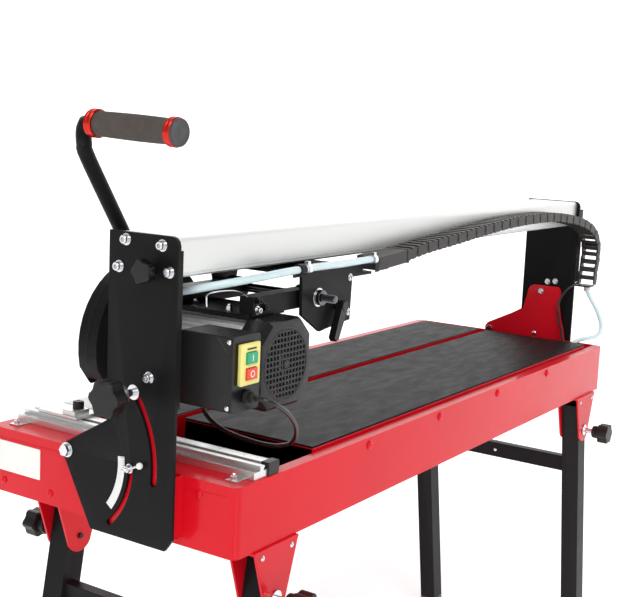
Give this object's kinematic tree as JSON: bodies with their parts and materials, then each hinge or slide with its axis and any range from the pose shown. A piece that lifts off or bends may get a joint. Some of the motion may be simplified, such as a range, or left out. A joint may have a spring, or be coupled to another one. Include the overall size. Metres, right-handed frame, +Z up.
{
  "type": "wet tile saw",
  "caption": "Bridge wet tile saw: red water tray on folding legs, tilting guide beam, sliding motor head with guarded blade, hoses and drag chain",
  "frame": {"origin": "on the floor under the middle of the saw's footprint, cords left out", "axes": "+X along the cut from the near end, with the handle and fence rail, to the far end; +Y from the operator's front to the rear; +Z up"},
  "size_m": [1.7734, 0.629, 1.4095],
  "materials": {
    "red_enamel": "bright red gloss enamel on folded sheet steel",
    "black_paint": "near-black semi-gloss powder coat",
    "mat_rubber": "dark charcoal ribbed rubber",
    "aluminium": "satin extruded or cast aluminium",
    "zinc_steel": "bright zinc-plated turned steel",
    "blade_steel": "ground steel",
    "black_plastic": "black moulded plastic, slightly satin",
    "grip_rubber": "grey-brown ribbed rubber",
    "yellow_plastic": "pale yellow moulded plastic",
    "green_plastic": "green push button",
    "red_plastic": "red-orange push button",
    "clear_hose": "translucent pale blue-white tube"
  },
  "bodies": {
    "frame": {"water_tray": "red_enamel", "table_front": "red_enamel", "table_rear": "red_enamel", "mat_front": "mat_rubber", "mat_rear": "mat_rubber", "tilt_bracket_near": "red_enamel", "tilt_bracket_far": "red_enamel", "fence_rail": "aluminium", "leg_bracket_near_front": "red_enamel", "leg_bracket_near_rear": "red_enamel", "leg_bracket_far_front": "red_enamel", "leg_bracket_far_rear": "red_enamel", "water_pump": "black_plastic", "pump_lead": "black_plastic", "pump_hose": "clear_hose"},
    "bridge": {"guide_beam": "aluminium", "near_end_plate": "black_paint", "far_end_plate": "black_paint", "pivot_bolt_near": "zinc_steel", "pivot_bolt_far": "zinc_steel", "drag_chain": "black_plastic"},
    "carriage": {"carriage": "black_paint", "plunge_rod": "zinc_steel"},
    "head": {"motor_housing": "aluminium", "end_shield": "aluminium", "fan_cover": "black_plastic", "switch_box": "black_plastic", "switch_plate": "yellow_plastic", "head_arm": "black_paint", "blade_guard": "black_paint", "handle_tube": "black_paint", "handle_grip": "grip_rubber", "water_valve": "zinc_steel", "power_cable": "black_plastic", "water_hose": "clear_hose"},
    "spindle": {"motor_shaft": "blade_steel", "cooling_fan": "black_plastic", "inner_flange": "zinc_steel", "saw_blade": "blade_steel", "flange_nut": "zinc_steel"},
    "leg_frame_near": {"leg_near_front": "black_paint", "leg_near_rear": "black_paint", "crossbar_near": "black_paint"},
    "leg_frame_far": {"leg_far_front": "black_paint", "leg_far_rear": "black_paint", "crossbar_far": "black_paint"},
    "start_button": {"start_button": "green_plastic"},
    "stop_button": {"stop_button": "red_plastic"},
    "bevel_knob_near": {"bevel_knob_near": "black_plastic"},
    "bevel_knob_far": {"bevel_knob_far": "black_plastic"},
    "transport_knob": {"transport_knob": "black_plastic"},
    "fence_stop": {"fence_stop": "aluminium"},
    "fence_knob": {"fence_knob": "black_plastic"},
    "wheel_set_near": {"wheel_set_near": "black_plastic"},
    "wheel_set_far": {"wheel_set_far": "black_plastic"},
    "clamp_lever": {"clamp_lever": "black_plastic"},
    "leg_knob_near_front": {"leg_knob_near_front": "black_plastic"},
    "leg_knob_near_rear": {"leg_knob_near_rear": "black_plastic"},
    "leg_knob_far_front": {"leg_knob_far_front": "black_plastic"},
    "leg_knob_far_rear": {"leg_knob_far_rear": "black_plastic"}
  },
  "joints": [
    {"name": "bevel_tilt", "type": "hinge", "parent": "frame", "child": "bridge", "pos_m": [0.00035, 0.081, 0.857], "axis": [-1, 0, 0], "range_deg": [0, 45], "deforming": ["pump_lead", "pump_hose"]},
    {"name": "head_slide", "type": "slide", "parent": "bridge", "child": "carriage", "axis": [1, 0, 0], "range_m": [0, 1.12], "deforming": ["drag_chain"]},
    {"name": "head_plunge", "type": "hinge", "parent": "carriage", "child": "head", "pos_m": [-0.49465, -0.081, 1.108], "axis": [0, -1, 0], "range_deg": [0, 19], "stiffness_Nm_per_rad": 20, "springref_deg": -57.3, "deforming": ["water_hose", "power_cable"]},
    {"name": "blade_spin", "type": "hinge", "parent": "head", "child": "spindle", "pos_m": [-0.63465, -0.061, 1.018], "axis": [0, 1, 0], "continuous": true},
    {"name": "start_press", "type": "slide", "parent": "head", "child": "start_button", "axis": [0, 1, 0], "range_m": [0, 0.003], "stiffness_N_per_m": 600, "springref_m": -0.002},
    {"name": "stop_press", "type": "slide", "parent": "head", "child": "stop_button", "axis": [0, 1, 0], "range_m": [0, 0.003], "stiffness_N_per_m": 600, "springref_m": -0.002},
    {"name": "bevel_knob_near_turn", "type": "hinge", "parent": "frame", "child": "bevel_knob_near", "pos_m": [-0.81665, -0.06225, 0.9772], "axis": [-1, 0, 0], "range_deg": [0, 540]},
    {"name": "bevel_knob_far_turn", "type": "hinge", "parent": "frame", "child": "bevel_knob_far", "pos_m": [0.81665, -0.06225, 0.9772], "axis": [1, 0, 0], "range_deg": [0, 540]},
    {"name": "transport_knob_turn", "type": "hinge", "parent": "bridge", "child": "transport_knob", "pos_m": [-0.81665, -0.0965, 1.1715], "axis": [-1, 0, 0], "range_deg": [0, 540]},
    {"name": "leg_fold_near", "type": "hinge", "parent": "frame", "child": "leg_frame_near", "pos_m": [-0.67465, 0, 0.643], "axis": [0, -1, 0], "range_deg": [0, 100]},
    {"name": "leg_fold_far", "type": "hinge", "parent": "frame", "child": "leg_frame_far", "pos_m": [0.70535, 0, 0.643], "axis": [0, 1, 0], "range_deg": [0, 100]},
    {"name": "leg_knob_near_front_turn", "type": "hinge", "parent": "frame", "child": "leg_knob_near_front", "pos_m": [-0.67465, -0.2465, 0.643], "axis": [0, -1, 0], "range_deg": [0, 540]},
    {"name": "leg_knob_near_rear_turn", "type": "hinge", "parent": "frame", "child": "leg_knob_near_rear", "pos_m": [-0.67465, 0.2465, 0.643], "axis": [0, 1, 0], "range_deg": [0, 540]},
    {"name": "leg_knob_far_front_turn", "type": "hinge", "parent": "frame", "child": "leg_knob_far_front", "pos_m": [0.70535, -0.2465, 0.643], "axis": [0, -1, 0], "range_deg": [0, 540]},
    {"name": "leg_knob_far_rear_turn", "type": "hinge", "parent": "frame", "child": "leg_knob_far_rear", "pos_m": [0.70535, 0.2465, 0.643], "axis": [0, 1, 0], "range_deg": [0, 540]},
    {"name": "fence_slide", "type": "slide", "parent": "frame", "child": "fence_stop", "axis": [0, 1, 0], "range_m": [-0.19, 0.03]},
    {"name": "fence_knob_turn", "type": "hinge", "parent": "fence_stop", "child": "fence_knob", "pos_m": [-0.68765, 0.186, 0.8755], "axis": [0, 0, 1], "range_deg": [0, 540]},
    {"name": "wheel_near_roll", "type": "hinge", "parent": "carriage", "child": "wheel_set_near", "pos_m": [-0.51465, -0.0785, 1.1863], "axis": [0, 1, 0], "range_deg": [-2, 3780]},
    {"name": "wheel_far_roll", "type": "hinge", "parent": "carriage", "child": "wheel_set_far", "pos_m": [-0.41465, -0.0785, 1.1863], "axis": [0, 1, 0], "range_deg": [-2, 3780]},
    {"name": "clamp_lever_turn", "type": "hinge", "parent": "carriage", "child": "clamp_lever", "pos_m": [-0.43465, -0.186, 1.088], "axis": [0, -1, 0], "range_deg": [0, 90]}
  ],
  "couplings": [
    {"joint": "wheel_near_roll", "follows": "head_slide", "rad_per_m": 58.824},
    {"joint": "wheel_far_roll", "follows": "head_slide", "rad_per_m": 58.824}
  ]
}
